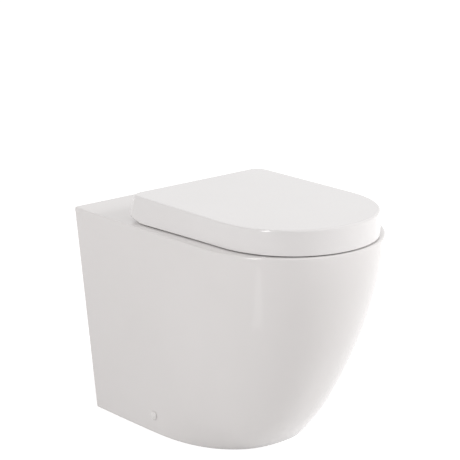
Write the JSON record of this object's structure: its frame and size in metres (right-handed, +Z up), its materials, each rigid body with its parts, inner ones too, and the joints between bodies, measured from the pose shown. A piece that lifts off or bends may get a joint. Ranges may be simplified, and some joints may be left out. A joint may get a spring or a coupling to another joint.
{
  "type": "back to wall toilet",
  "caption": "Floor standing ceramic toilet pan with closed sides and a swept-back foot, with a seat ring and wrap-over lid on soft-close hinges.",
  "frame": {"origin": "on the floor, under the middle of the closed toilet's footprint", "axes": "+X to the right seen from the front, -Y towards the front of the pan, +Y into the wall, +Z up"},
  "size_m": [0.368, 0.552, 0.4476],
  "materials": {
    "vitreous_china": "glossy white glaze",
    "seat_plastic": "smooth glossy white moulding",
    "cap_plastic": "smooth white moulding",
    "chrome": "polished plating",
    "zinc_steel": "zinc plated",
    "black_rubber": "matt",
    "bumper_rubber": "matt off-white",
    "damper_plastic": "satin grey",
    "bush_plastic": "satin natural",
    "fixing_plastic": "satin off-white"
  },
  "bodies": {
    "pan_body": {"pan": "vitreous_china", "flush_seal": "black_rubber", "floor_bracket_left": "fixing_plastic", "floor_bracket_right": "fixing_plastic", "side_bushes": "fixing_plastic", "side_screws": "zinc_steel", "screw_cap_left": "cap_plastic", "screw_cap_right": "cap_plastic", "fixing_bolt_left": "zinc_steel", "fixing_bolt_right": "zinc_steel", "base_gaskets": "black_rubber", "base_disc_left": "chrome", "base_disc_right": "chrome", "cone_washers": "black_rubber", "wing_nuts": "fixing_plastic"},
    "seat_carriage": {"hinge_block_left": "chrome", "hinge_block_right": "chrome", "damper_left": "damper_plastic", "damper_right": "damper_plastic", "lid_hinge_pin": "zinc_steel", "seat_hinge_pin": "zinc_steel", "release_spring_left": "zinc_steel", "release_spring_right": "zinc_steel"},
    "button_left": {"release_button_left": "chrome"},
    "button_right": {"release_button_right": "chrome"},
    "seat": {"seat_ring": "seat_plastic", "seat_bumpers": "bumper_rubber", "damper_shaft_left": "zinc_steel", "seat_hinge_bush": "bush_plastic"},
    "lid_body": {"lid": "seat_plastic", "lid_bumpers": "bumper_rubber", "damper_shaft_right": "zinc_steel", "lid_hinge_bush": "bush_plastic"}
  },
  "joints": [
    {"name": "seat_lift", "type": "slide", "parent": "pan_body", "child": "seat_carriage", "axis": [0, 0, 1], "range_m": [0, 0.016]},
    {"name": "seat_hinge", "type": "hinge", "parent": "seat_carriage", "child": "seat", "pos_m": [0, 0.1255, 0.425], "axis": [1, 0, 0], "range_deg": [-98, 0]},
    {"name": "lid_hinge", "type": "hinge", "parent": "seat", "child": "lid_body", "pos_m": [0, 0.1255, 0.425], "axis": [-1, 0, 0], "range_deg": [0, 100]},
    {"name": "release_button_left", "type": "slide", "parent": "seat_carriage", "child": "button_left", "axis": [0, 1, 0], "range_m": [0, 0.002], "stiffness_N_per_m": 400, "deforming": ["release_spring_left"]},
    {"name": "release_button_right", "type": "slide", "parent": "seat_carriage", "child": "button_right", "axis": [0, 1, 0], "range_m": [0, 0.002], "stiffness_N_per_m": 400, "deforming": ["release_spring_right"]}
  ]
}
